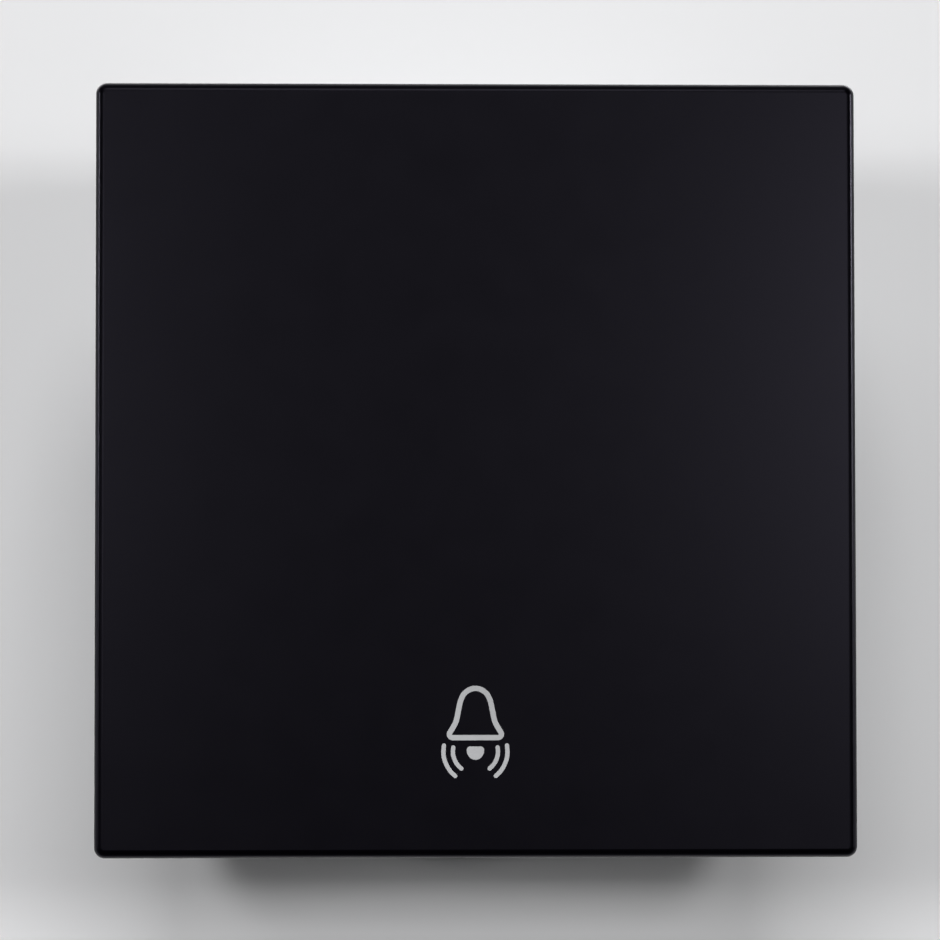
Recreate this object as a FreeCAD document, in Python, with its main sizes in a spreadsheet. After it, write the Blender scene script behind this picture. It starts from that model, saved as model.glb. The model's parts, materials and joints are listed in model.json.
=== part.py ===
import FreeCAD, Part
import os
import re

import Sketcher
from FreeCAD import Placement, Rotation, Vector

# Doorbell push button in the 45 mm modular format, in millimetres.
# Origin: centre of the seat plane, where the carrier's flange rests on its support.
# +Z is up, the key faces -Y, and the housing reaches back along +Y.

SIZES = [
    # Key cap, the square that is seen and pressed
    ("key_width", 44.2, "width of the key face"),
    ("key_height", 45.0, "height of the key face"),
    ("key_skirt", 4.6, "depth of the cap from face to rim"),
    ("key_wall", 1.5, "side wall of the cap"),
    ("key_face_wall", 1.6, "front wall of the cap"),
    ("key_corner", 0.6, "corner rounding of the outline"),
    ("key_edge", 0.5, "rounding of the front edge"),
    ("clip_inset_x", 10.8, "clip centre inside the rim, sideways"),
    ("clip_inset_z", 8.2, "clip centre inside the rim, up and down"),
    ("clip_width", 4.0, "width of a clip"),
    ("clip_thick", 1.2, "thickness of a clip"),
    ("clip_catch", 0.5, "reach of a clip's catch"),
    ("clip_play", 0.3, "room around a clip"),
    # Rocker plate that the cap clips to
    ("rocker_thick", 2.0, "thickness of the rocker plate"),
    ("rocker_fit", 0.4, "gap between rocker plate and the carrier's rim"),
    ("rib_depth", 1.0, "depth of the recesses between the ribs"),
    ("press_travel", 2.2, "way of the cap's inside to the rim, which stops the press"),
    ("pivot_inset", 3.2, "pivot axis below the rim's top"),
    ("pivot_behind", 1.8, "pivot axis behind the rocker plate"),
    ("pivot_radius", 1.1, "radius of the stub pins"),
    ("pivot_play", 0.08, "radial running clearance of the pins"),
    ("ear_inset", 6.4, "middle of an ear inside the rim"),
    ("ear_thick", 1.6, "thickness of an ear"),
    ("ear_radius", 1.6, "radius of an ear around the pivot"),
    ("ear_gap", 0.4, "gap between ear and flange"),
    ("post_gap", 0.4, "gap between ear and post"),
    ("post_thick", 2.0, "thickness of a pivot post"),
    ("post_radius", 1.5, "radius of a post around the pivot"),
    ("nose_length", 2.2, "nose behind the rocker plate"),
    ("nose_radius", 1.0, "radius of the nose tip"),
    ("nose_width", 5.0, "width of the nose"),
    ("nose_gap", 0.03, "gap between nose and plunger at rest"),
    ("hook_inset_x", 9.8, "middle of a stop hook inside the rim, sideways"),
    ("hook_inset_z", 2.9, "stop hook above the rim's lower edge"),
    ("hook_width", 3.6, "width of a stop hook"),
    ("hook_thick", 1.0, "thickness of a stop hook"),
    ("hook_catch", 0.7, "reach of the hook's catch"),
    ("hook_head", 1.2, "depth of the hook's catch"),
    ("hook_gap", 0.05, "gap between catch and deck at rest"),
    # Carrier frame
    ("flange_inset", 0.1, "edge of the flange inside the key's edge"),
    ("flange_thick", 1.6, "thickness of the flange"),
    ("flange_corner", 1.0, "corner rounding of the flange"),
    ("deck_relief", 0.2, "deck inside the neck, in front of the seat plane"),
    ("rim_gap", 0.8, "gap between the rim and the cap's skirt"),
    ("rim_wall", 1.2, "thickness of the rim"),
    ("pry_width", 6.0, "width of the notch for lifting the part out"),
    ("pry_depth", 0.8, "depth of that notch"),
    ("seat_high", 1.2, "seat above and below the neck that enters the support"),
    ("seat_side", 4.2, "seat beside that neck"),
    ("neck_wall", 1.4, "wall of the neck"),
    ("neck_depth", 7.0, "depth of the neck"),
    ("tongue_width", 10.0, "width of a snap tongue"),
    ("tongue_slot", 0.8, "slot beside a snap tongue"),
    ("tongue_root", 1.4, "root of the tongue behind the flange"),
    ("support_edge", 2.2, "thickness of support that the snap holds"),
    ("snap_reach", 0.9, "snap nose proud of the neck"),
    ("snap_land", 0.7, "flat top of the snap nose"),
    ("snap_slope", 2.9, "length of the snap nose's slope"),
    ("window_radius", 5.2, "hole in the deck around the guide"),
    # Housing
    ("body_step", 0.2, "edge of the rear body inside the neck's edge"),
    ("tongue_room", 0.7, "room behind a snap tongue"),
    ("tongue_end_gap", 0.3, "gap between a tongue's end and the rear body"),
    ("housing_gap", 0.2, "front of the housing behind the seat plane"),
    ("rib_wall", 1.5, "ribs and walls around the pockets in the body's top and bottom"),
    ("rib_pocket", 1.7, "depth of those pockets"),
    ("pocket_wall", 1.2, "wall between a terminal and such a pocket"),
    ("spigot_fit", 0.2, "gap between spigot and neck"),
    ("body_corner", 1.2, "corner rounding of the neck and of the rear body"),
    ("cover_step", 0.2, "edge of the rear cover inside the rear body's edge"),
    ("floor_thick", 2.4, "floor behind the return spring"),
    ("shelf_thick", 1.0, "wall between chamber and bars"),
    ("well_radius", 4.6, "round well for the plunger collar"),
    ("slot_play", 0.25, "gap around the bridge in its slot"),
    ("pit_radius", 3.4, "pit around the return spring"),
    ("notch_height", 2.7, "notch for the stop hooks, from below"),
    ("notch_depth", 4.0, "depth of that notch"),
    ("core_web", 1.4, "wall between two coring slots"),
    ("core_side", 3.0, "coring slots' spacing inside the screws"),
    ("core_wall", 1.5, "wall around the coring slots"),
    ("core_inset", 2.0, "upper coring slots above the chamber cover"),
    ("core_depth", 14.0, "depth of the coring slots"),
    ("low_core_wall", 0.8, "wall between the lower coring slots and the hooks' notch"),
    # Chamber cover with the plunger's guide
    ("guide_plate_thick", 1.6, "thickness of the chamber cover"),
    ("guide_plate_lap", 2.1, "chamber cover beyond the bridge's ends"),
    ("guide_plate_height", 12.0, "height of the chamber cover"),
    ("guide_plate_fit", 0.1, "gap around the chamber cover"),
    ("hub_radius", 4.4, "radius of the guide hub"),
    ("hub_nose", 1.2, "guide hub in front of the cover plate"),
    ("hub_tail", 0.8, "guide hub behind the cover plate"),
    # Plunger
    ("plunger_radius", 3.0, "radius of the plunger"),
    ("plunger_play", 0.08, "radial running clearance of the plunger"),
    ("collar_radius", 4.2, "radius of the plunger's collar"),
    ("collar_gap", 0.05, "gap between collar and guide at rest"),
    ("collar_thick", 1.2, "thickness of the collar"),
    ("stem_radius", 1.5, "radius of the thin stem"),
    ("head_radius", 2.3, "radius of the head that holds the bridge"),
    ("head_thick", 1.2, "thickness of that head"),
    ("spigot_radius", 1.1, "radius of the spring spigots"),
    ("spigot_length", 1.6, "length of the spring spigots"),
    # Contacts
    ("contact_spring_length", 4.55, "length of the contact spring at rest"),
    ("contact_spring_radius", 2.1, "mean radius of the contact spring"),
    ("contact_wire", 0.4, "wire of the contact spring"),
    ("contact_turns", 3, "turns of the contact spring"),
    ("return_spring_length", 8.0, "length of the return spring at rest"),
    ("return_spring_radius", 1.9, "mean radius of the return spring"),
    ("return_wire", 0.45, "wire of the return spring"),
    ("return_turns", 4, "turns of the return spring"),
    ("bridge_end", 1.7, "bridge beyond the middle of its silver tips"),
    ("bridge_height", 4.0, "height of the contact bridge"),
    ("bridge_thick", 1.0, "thickness of the contact bridge"),
    ("bridge_hole", 1.8, "radius of the bridge's hole"),
    ("tip_radius", 1.3, "radius of the bridge's silver tips"),
    ("tip_rise", 0.7, "height of the bridge's silver tips"),
    ("contact_gap", 0.6, "opening of the contacts at rest"),
    ("rivet_radius", 1.5, "radius of a fixed contact"),
    ("rivet_rise", 1.6, "height of a fixed contact in front of its bar"),
    ("rivet_shank", 0.9, "radius of a fixed contact's shank"),
    ("rivet_play", 0.25, "gap around a fixed contact in its hole"),
    # Terminals
    ("terminal_inset", 0.1, "terminal inside the middle of its half of the body"),
    ("terminal_rise", 10.9, "clamping face above the body's lower edge"),
    ("bar_thick", 0.8, "thickness of a terminal bar"),
    ("bar_width", 4.8, "width of a terminal bar"),
    ("bar_top", 2.2, "top of the bar above the middle"),
    ("bar_end_gap", 0.4, "gap between a bar's end and the rear cover"),
    ("pocket_width", 5.2, "width of a terminal pocket"),
    ("wire_radius", 1.5, "radius of a wire entry"),
    ("wire_gap", 0.1, "gap between wire entry and clamping face"),
    ("entry_chamfer", 0.4, "funnel at a wire entry"),
    ("lever_wall", 1.1, "wall between wire entry and lever"),
    ("lever_thick", 1.4, "thickness of a release lever"),
    ("lever_width", 3.8, "width of a release lever"),
    ("lever_wing", 0.5, "wing at each side that holds the lever in"),
    ("wing_length", 1.4, "length of the wings"),
    ("lever_play", 0.1, "gap around a lever in its window"),
    ("lever_sunk", 0.4, "lever end below the rear face"),
    ("strip_thick", 0.4, "thickness of a clamp spring"),
    ("strip_width", 4.6, "width of a clamp spring"),
    ("loop_gap", 0.4, "gap between lever and the spring's loop"),
    ("loop_height", 2.2, "height of the spring's loop"),
    ("loop_bend", 1.05, "bend radius of the loop"),
    ("loop_setback", 1.5, "loop in front of the rear cover"),
    ("leg_bend", 0.6, "bend radius of the free leg"),
    ("leg_straight", 1.7, "straight stretch before the free leg"),
    ("leg_reach", 3.9, "free leg's reach forward"),
    ("fixed_leg", 6.7, "length of the leg on the pocket floor"),
    # Rear cover and screws
    ("rear_cover_thick", 3.0, "thickness of the rear cover"),
    ("rear_edge", 0.6, "chamfer of the rear cover"),
    ("hold_rib", 1.6, "thickness of the ribs that hold the bars"),
    ("screw_inset_x", 4.8, "screw inside the body's side"),
    ("screw_inset_z", 6.5, "screw below the spigot's top"),
    ("screw_radius", 1.1, "radius of the screw"),
    ("screw_play", 0.2, "room around the screw in the housing"),
    ("pilot_play", 0.02, "room around the screw in its boss"),
    ("boss_radius", 2.0, "radius of a screw boss"),
    ("boss_length", 4.0, "length of a screw boss"),
    ("boss_play", 0.15, "gap around a boss in its socket"),
    ("screw_tip", 0.8, "screw tip behind the seat plane"),
    ("screw_head_radius", 1.95, "radius of the screw head"),
    ("screw_head", 1.4, "height of the screw head"),
    ("sink_play", 0.25, "room around the screw head"),
    ("sink_depth", 1.6, "depth of the recess for the head"),
]

# Places that follow from the sizes above. Names ending in _y are depths, in _z heights.
PLACES = {
    "flange_front_y": "-flange_thick",
    "deck_rear_y": "-deck_relief",
    "pivot_y": "flange_front_y - ear_gap - ear_radius",
    "rocker_rear_y": "pivot_y - pivot_behind",
    "rocker_front_y": "rocker_rear_y - rocker_thick",
    "key_face_y": "rocker_front_y - key_face_wall",
    "key_rim_y": "key_face_y + key_skirt",
    "rim_front_y": "rocker_front_y + press_travel",
    "nose_tip_y": "rocker_rear_y + nose_length",
    "plunger_front_y": "nose_tip_y + nose_gap",
    "cap_inner_width": "key_width - 2 * key_wall",
    "cap_inner_height": "key_height - 2 * key_wall",
    "rim_width": "cap_inner_width - 2 * rim_gap",
    "rim_height": "cap_inner_height - 2 * rim_gap",
    "clip_place_x": "rim_width / 2 - clip_inset_x",
    "clip_place_z": "rim_height / 2 - clip_inset_z",
    "pivot_height": "rim_height / 2 - pivot_inset",
    "ear_place": "rim_width / 2 - ear_inset",
    "ear_outer": "ear_place + ear_thick / 2",
    "post_inner": "ear_outer + post_gap",
    "post_outer": "post_inner + post_thick",
    "hook_place": "rim_width / 2 - hook_inset_x",
    "hook_drop": "rim_height / 2 - hook_inset_z",
    "hook_low_z": "-hook_drop - hook_thick / 2",
    "hook_catch_y": "deck_rear_y + hook_gap",
    "flange_width": "key_width - 2 * flange_inset",
    "flange_height": "key_height - 2 * flange_inset",
    "neck_height": "flange_height - 2 * seat_high",
    "body_width": "flange_width - 2 * seat_side",
    "body_height": "neck_height - 2 * body_step",
    "neck_inner_width": "body_width - 2 * neck_wall",
    "neck_inner_height": "neck_height - 2 * neck_wall",
    "spigot_width": "neck_inner_width - 2 * spigot_fit",
    "spigot_height": "neck_inner_height - 2 * tongue_room",
    "screw_place_x": "body_width / 2 - screw_inset_x",
    "screw_place_z": "spigot_height / 2 - screw_inset_z",
    "terminal_place": "body_width / 4 - terminal_inset",
    "terminal_drop": "body_height / 2 - terminal_rise",
    "bridge_length": "2 * (terminal_place + bridge_end)",
    "guide_plate_width": "bridge_length + 2 * guide_plate_lap",
    "core_pitch": "(screw_place_x - core_side) / 2",
    "core_width": "core_pitch - core_web",
    "core_low": "guide_plate_height / 2 + core_inset",
    "core_high": "spigot_height / 2 - core_wall",
    "low_core_top": "guide_plate_height / 2 + core_wall",
    "low_core_end": "spigot_height / 2 - notch_height - low_core_wall",
    "rib_pitch": "(body_width - rib_wall) / 3",
    "guide_front_y": "housing_gap",
    "guide_rear_y": "guide_front_y + guide_plate_thick",
    "hub_rear_y": "guide_rear_y + hub_tail",
    "collar_front_y": "hub_rear_y + collar_gap",
    "collar_rear_y": "collar_front_y + collar_thick",
    "bridge_front_y": "collar_rear_y + contact_spring_length",
    "bridge_rear_y": "bridge_front_y + bridge_thick",
    "fixed_face_y": "bridge_rear_y + tip_rise + contact_gap",
    "bar_front_y": "fixed_face_y + rivet_rise",
    "bar_rear_y": "bar_front_y + bar_thick",
    "shelf_y": "bar_front_y - shelf_thick",
    "head_rear_y": "bridge_rear_y + head_thick",
    "pit_floor_y": "head_rear_y + return_spring_length",
    "housing_rear_y": "pit_floor_y + floor_thick",
    "rear_face_y": "housing_rear_y + rear_cover_thick",
    "clamp_face_z": "-terminal_drop",
    "pocket_top_z": "clamp_face_z + bar_thick",
    "wire_z": "clamp_face_z - wire_gap - wire_radius",
    "lever_top_z": "wire_z - wire_radius - lever_wall",
    "lever_low_z": "lever_top_z - lever_thick",
    "loop_top_z": "lever_low_z - loop_gap - strip_thick / 2",
    "loop_low_z": "loop_top_z - loop_height",
    "pocket_low_z": "loop_low_z - strip_thick / 2",
    "loop_rear_y": "housing_rear_y - loop_setback",
    "leg_bend_y": "loop_rear_y - leg_straight",
    "leg_tip_y": "leg_bend_y - leg_reach",
    "leg_tip_z": "clamp_face_z - strip_thick / 2",
    "leg_slope": "leg_reach / (leg_tip_z - loop_top_z)",
    "leg_rear_gap": "lever_play + strip_thick / 2 * sqrt(1 + (leg_slope) ^ 2)",
}

doc = FreeCAD.newDocument("DoorbellPush")
sheet = doc.addObject("Spreadsheet::Sheet", "Size")
for row, (name, value, meaning) in enumerate(SIZES, start=1):
    sheet.set(f"A{row}", name)
    sheet.set(f"B{row}", str(value))
    sheet.set(f"C{row}", meaning)
    sheet.setAlias(f"B{row}", name)
doc.recompute()
SIZE_NAMES = {name for name, value, meaning in SIZES}


def tied(words):
    """The expression for FreeCAD, with each size and place named in it looked up."""
    def look_up(match):
        word = match.group(0)
        if word in PLACES:
            return "(" + tied(PLACES[word]) + ")"
        return "Size." + word if word in SIZE_NAMES else word
    return re.sub(r"[a-z_]+", look_up, str(words))


def number(words):
    return float(sheet.evalExpression(tied(words)))


def new_body(name):
    return doc.addObject("PartDesign::Body", name)


def sketch_on(body, name, role, offset):
    """A sketch on one of the body's origin planes, moved along the plane's normal."""
    sketch = body.newObject("Sketcher::SketchObject", body.Name + "_" + name)
    plane = next(f for f in body.Origin.OriginFeatures if f.Role == role)
    sketch.AttachmentSupport = [(plane, "")]
    sketch.MapMode = "FlatFace"
    sketch.setExpression("AttachmentOffset.Base.z", tied(offset))
    return sketch


def pin_point(sketch, edge, end, across, up):
    """Hold one end of an edge at a place worked out from the sizes."""
    for kind, words in (("DistanceX", across), ("DistanceY", up)):
        index = sketch.addConstraint(Sketcher.Constraint(kind, -1, 1, edge, end, number(words)))
        sketch.setExpression(f"Constraints[{index}]", tied(words))


def draw_lines(sketch, points, closed=True):
    spots = [Vector(number(across), number(up), 0) for across, up in points]
    count = len(points) if closed else len(points) - 1
    for i in range(count):
        sketch.addGeometry(Part.LineSegment(spots[i], spots[(i + 1) % len(points)]), False)
    for i in range(count if closed else count - 1):
        sketch.addConstraint(Sketcher.Constraint("Coincident", i, 2, (i + 1) % count, 1))
    for i, (across, up) in enumerate(points):
        if i < count:
            pin_point(sketch, i, 1, across, up)
        else:
            pin_point(sketch, count - 1, 2, across, up)


def draw_circle(sketch, across, up, radius):
    centre = Vector(number(across), number(up), 0)
    edge = sketch.addGeometry(Part.Circle(centre, Vector(0, 0, 1), number(radius)), False)
    pin_point(sketch, edge, 3, across, up)
    index = sketch.addConstraint(Sketcher.Constraint("Radius", edge, number(radius)))
    sketch.setExpression(f"Constraints[{index}]", tied(radius))


def extrude(body, sketch, kind, length, forwards):
    """Pad or pocket a sketch, and stop if it adds or removes nothing."""
    doc.recompute()
    before = body.Shape.Volume if not body.Shape.isNull() else 0.0
    feature = body.newObject("PartDesign::" + kind, sketch.Name + "_" + kind.lower())
    feature.Profile = sketch
    feature.setExpression("Length", tied(length))
    feature.Reversed = forwards if kind == "Pocket" else not forwards
    sketch.Visibility = False
    doc.recompute()
    change = body.Shape.Volume - before
    if (change if kind == "Pad" else -change) < 1e-4:
        raise RuntimeError(sketch.Name + " changes nothing")
    return feature


def box(body, name, left, right, low, high, front, rear, kind="Pad"):
    """A block between two sides, two heights and two depths."""
    sketch = sketch_on(body, name, "XZ_Plane", f"-({front})")
    draw_lines(sketch, [(left, low), (right, low), (right, high), (left, high)])
    return extrude(body, sketch, kind, f"({rear}) - ({front})", False)


def centred_box(body, name, width, height, front, rear, kind="Pad"):
    half, tall = f"({width}) / 2", f"({height}) / 2"
    return box(body, name, "-" + half, half, "-" + tall, tall, front, rear, kind)


def disc(body, name, across, up, radius, front, rear, kind="Pad"):
    """A round boss or hole along the depth."""
    sketch = sketch_on(body, name, "XZ_Plane", f"-({front})")
    draw_circle(sketch, across, up, radius)
    return extrude(body, sketch, kind, f"({rear}) - ({front})", False)


def side_shape(body, name, points, left, right, kind="Pad"):
    """An outline in depth and height, carried from one side to the other."""
    sketch = sketch_on(body, name, "YZ_Plane", left)
    draw_lines(sketch, points)
    return extrude(body, sketch, kind, f"({right}) - ({left})", True)


def side_disc(body, name, depth, up, radius, left, right, kind="Pad"):
    """A round boss or hole from one side to the other."""
    sketch = sketch_on(body, name, "YZ_Plane", left)
    draw_circle(sketch, depth, up, radius)
    return extrude(body, sketch, kind, f"({right}) - ({left})", True)


def soften(body, name, kind, size, chosen):
    """Round or chamfer the edges that a rule picks."""
    doc.recompute()
    picked = [f"Edge{i + 1}" for i, edge in enumerate(body.Shape.Edges) if chosen(edge)]
    if not picked:
        raise RuntimeError(body.Name + " has no edge for " + name)
    base = body.Tip
    feature = body.newObject("PartDesign::" + kind, body.Name + "_" + name)
    feature.Base = (base, picked)
    feature.setExpression("Radius" if kind == "Fillet" else "Size", tied(size))
    doc.recompute()
    return feature


def near(value, words):
    return abs(value - number(words)) < 1e-4


def lies_at_depth(edge, words):
    return near(edge.BoundBox.YMin, words) and near(edge.BoundBox.YMax, words)


def runs_back(edge):
    """True for a straight edge along the depth."""
    bounds = edge.BoundBox
    return bounds.XLength < 1e-4 and bounds.ZLength < 1e-4 and bounds.YLength > 0.1


def at_corner(edge, width, height):
    middle = edge.CenterOfMass
    return near(abs(middle.x), f"({width}) / 2") and near(abs(middle.z), f"({height}) / 2")


def turned(body, name, outline):
    """A turned piece: radii and depths of its half section, turned about the Y axis."""
    sketch = sketch_on(body, name, "XY_Plane", "0")
    draw_lines(sketch, outline)
    feature = body.newObject("PartDesign::Revolution", body.Name + "_turned")
    feature.Profile = sketch
    feature.ReferenceAxis = (sketch, ["V_Axis"])
    feature.Angle = 360
    sketch.Visibility = False
    doc.recompute()
    return feature


def set_sideways(thing, words):
    thing.setExpression("Placement.Base.x", tied(words))


def sides():
    """The two sides of the part, with their signs: left is -X seen from the front."""
    return (("left", "-"), ("right", "+"))


def key_cap():
    body = new_body("key_cap")
    centred_box(body, "shell", "key_width", "key_height", "key_face_y", "key_rim_y")
    soften(body, "corners", "Fillet", "key_corner",
           lambda e: runs_back(e) and at_corner(e, "key_width", "key_height"))
    soften(body, "face_edge", "Fillet", "key_edge", lambda e: lies_at_depth(e, "key_face_y"))
    centred_box(body, "hollow", "cap_inner_width", "cap_inner_height",
                "rocker_front_y", "key_rim_y", "Pocket")
    for side, sign in sides():
        for level, way in (("low", "-"), ("high", "+")):
            name = f"clip_{side}_{level}"
            middle = f"{sign}clip_place_x"
            inner = f"{way}(clip_place_z - clip_thick / 2)"
            outer = f"{way}(clip_place_z + clip_thick / 2)"
            tip = f"{way}(clip_place_z + clip_thick / 2 + clip_catch)"
            step = "rocker_rear_y + hook_gap"
            side_shape(body, name, [("rocker_front_y", inner), ("key_rim_y", inner),
                                    ("key_rim_y", outer), (f"({step} + key_rim_y) / 2", tip),
                                    (step, tip), (step, outer), ("rocker_front_y", outer)],
                       f"{middle} - clip_width / 2", f"{middle} + clip_width / 2")
    return body


def rocker_plate():
    body = new_body("rocker_plate")
    width = "rim_width - 2 * rim_wall - 2 * rocker_fit"
    height = "rim_height - 2 * rim_wall - 2 * rocker_fit"
    centred_box(body, "plate", width, height, "rocker_front_y", "rocker_rear_y")
    soften(body, "corners", "Fillet", "key_corner",
           lambda e: runs_back(e) and at_corner(e, width, height))
    floor = "rocker_rear_y - rib_depth"
    wide_rib = "clip_width / 2 + 2 * clip_play"
    columns = (("nose_radius", f"clip_place_x - {wide_rib}"),
               (f"clip_place_x + {wide_rib}", f"({width}) / 2 - key_wall"))
    rows = "nose_radius + nose_length", "clip_place_z + clip_thick"
    for side, sign in sides():
        for number_in_row, (inner, outer) in enumerate(columns):
            edges = (f"{sign}({inner})", f"{sign}({outer})")
            left, right = edges if sign == "+" else edges[::-1]
            for level, way in (("low", "-"), ("high", "+")):
                ends = (f"{way}({rows[0]})", f"{way}({rows[1]})")
                low, high = ends if way == "+" else ends[::-1]
                box(body, f"recess_{side}_{level}_{number_in_row}", left, right, low, high,
                    floor, "rocker_rear_y", "Pocket")
    for side, sign in sides():
        middle = f"{sign}clip_place_x"
        for level, way in (("low", "-"), ("high", "+")):
            ends = (f"{way}(clip_place_z - clip_thick / 2 - clip_catch - clip_play)",
                    f"{way}(clip_place_z + clip_thick / 2 + clip_play / 3)")
            low, high = ends if way == "+" else ends[::-1]
            box(body, f"clip_slot_{side}_{level}",
                f"{middle} - clip_width / 2 - clip_play", f"{middle} + clip_width / 2 + clip_play",
                low, high, "rocker_front_y", "rocker_rear_y", "Pocket")
    for side, sign in sides():
        middle = f"{sign}ear_place"
        inner, outer = f"{middle} - ear_thick / 2", f"{middle} + ear_thick / 2"
        side_shape(body, f"ear_{side}",
                   [("rocker_rear_y", "pivot_height - ear_radius"),
                    ("pivot_y", "pivot_height - ear_radius"),
                    ("pivot_y", "pivot_height + ear_radius"),
                    ("rocker_rear_y", "pivot_height + ear_radius")], inner, outer)
        side_disc(body, f"ear_end_{side}", "pivot_y", "pivot_height", "ear_radius", inner, outer)
        ends = ("ear_outer", "post_outer") if sign == "+" else ("-post_outer", "-ear_outer")
        side_disc(body, f"pin_{side}", "pivot_y", "pivot_height", "pivot_radius", *ends)
    nose_back = "nose_tip_y - nose_radius"
    side_shape(body, "nose", [("rocker_rear_y", "-nose_radius"), (nose_back, "-nose_radius"),
                              (nose_back, "nose_radius"), ("rocker_rear_y", "nose_radius")],
               "-nose_width / 2", "nose_width / 2")
    side_disc(body, "nose_tip", nose_back, "0", "nose_radius",
              "-nose_width / 2", "nose_width / 2")
    top = "hook_low_z + hook_thick"
    catch = "hook_low_z - hook_catch"
    tip = "hook_catch_y + hook_head"
    for side, sign in sides():
        middle = f"{sign}hook_place"
        side_shape(body, f"hook_{side}",
                   [("rocker_rear_y", "hook_low_z"), ("hook_catch_y", "hook_low_z"),
                    ("hook_catch_y", catch), (f"{tip} - hook_head / 2", catch),
                    (tip, "hook_low_z"), (tip, top), ("rocker_rear_y", top)],
                   f"{middle} - hook_width / 2", f"{middle} + hook_width / 2")
    return body


def carrier_frame():
    body = new_body("carrier_frame")
    centred_box(body, "flange", "flange_width", "flange_height", "flange_front_y", "0")
    soften(body, "corners", "Fillet", "flange_corner",
           lambda e: runs_back(e) and at_corner(e, "flange_width", "flange_height"))
    centred_box(body, "rim", "rim_width", "rim_height", "rim_front_y", "flange_front_y")
    centred_box(body, "tray", "rim_width - 2 * rim_wall", "rim_height - 2 * rim_wall",
                "rim_front_y", "flange_front_y", "Pocket")
    centred_box(body, "neck", "body_width", "neck_height", "0", "neck_depth")
    soften(body, "neck_corners", "Fillet", "body_corner",
           lambda e: runs_back(e) and at_corner(e, "body_width", "neck_height"))
    centred_box(body, "neck_hollow", "neck_inner_width", "neck_inner_height",
                "deck_rear_y", "neck_depth", "Pocket")
    disc(body, "window", "0", "0", "window_radius", "flange_front_y", "deck_rear_y", "Pocket")
    for side, sign in sides():
        place = f"{sign}hook_place"
        half = "hook_width / 2 + clip_play"
        box(body, f"hook_window_{side}", f"{place} - ({half})", f"{place} + {half}",
            "hook_low_z - hook_gap * 3", "-hook_drop + hook_thick / 2 + 2 * clip_play",
            "flange_front_y", "deck_rear_y", "Pocket")
        ends = ("post_inner", "post_outer") if sign == "+" else ("-post_outer", "-post_inner")
        side_shape(body, f"post_{side}",
                   [("flange_front_y", "pivot_height - post_radius"),
                    ("flange_front_y", "pivot_height + post_radius"),
                    ("pivot_y", "pivot_height + post_radius"),
                    ("pivot_y", "pivot_height - post_radius")], *ends)
        side_disc(body, f"post_end_{side}", "pivot_y", "pivot_height", "post_radius", *ends)
        side_disc(body, f"pivot_hole_{side}", "pivot_y", "pivot_height",
                  "pivot_radius + pivot_play", *ends, "Pocket")
        place = f"{sign}screw_place_x"
        disc(body, f"boss_{side}", place, "screw_place_z", "boss_radius",
             "deck_rear_y", "boss_length")
        disc(body, f"pilot_{side}", place, "screw_place_z", "screw_radius + pilot_play",
             "screw_tip - screw_play", "boss_length", "Pocket")
        edges = ("flange_width / 2 - pry_depth", "flange_width / 2 + pry_depth")
        if sign == "-":
            edges = ("-flange_width / 2 - pry_depth", "-flange_width / 2 + pry_depth")
        box(body, f"pry_notch_{side}", *edges, "-pry_width / 2", "pry_width / 2",
            "-pry_depth", "0", "Pocket")
    wall = "neck_height / 2"
    for level, way in (("low", "-"), ("high", "+")):
        for side, sign in sides():
            edges = ["tongue_width / 2", "tongue_width / 2 + tongue_slot"]
            if sign == "-":
                edges = ["-tongue_width / 2 - tongue_slot", "-tongue_width / 2"]
            ends = (f"{way}(neck_inner_height / 2)", f"{way}({wall})")
            low, high = ends if way == "+" else ends[::-1]
            box(body, f"tongue_slot_{side}_{level}", *edges, low, high,
                "tongue_root", "neck_depth", "Pocket")
        box(body, f"tongue_end_{level}", "-tongue_width / 2", "tongue_width / 2", low, high,
            "neck_depth - tongue_end_gap", "neck_depth", "Pocket")
        side_shape(body, f"snap_{level}",
                   [("support_edge", f"{way}({wall})"),
                    ("support_edge", f"{way}({wall} + snap_reach)"),
                    ("support_edge + snap_land", f"{way}({wall} + snap_reach)"),
                    ("support_edge + snap_land + snap_slope", f"{way}({wall})")],
                   "-tongue_width / 2 + tongue_slot", "tongue_width / 2 - tongue_slot")
    return body


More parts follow.
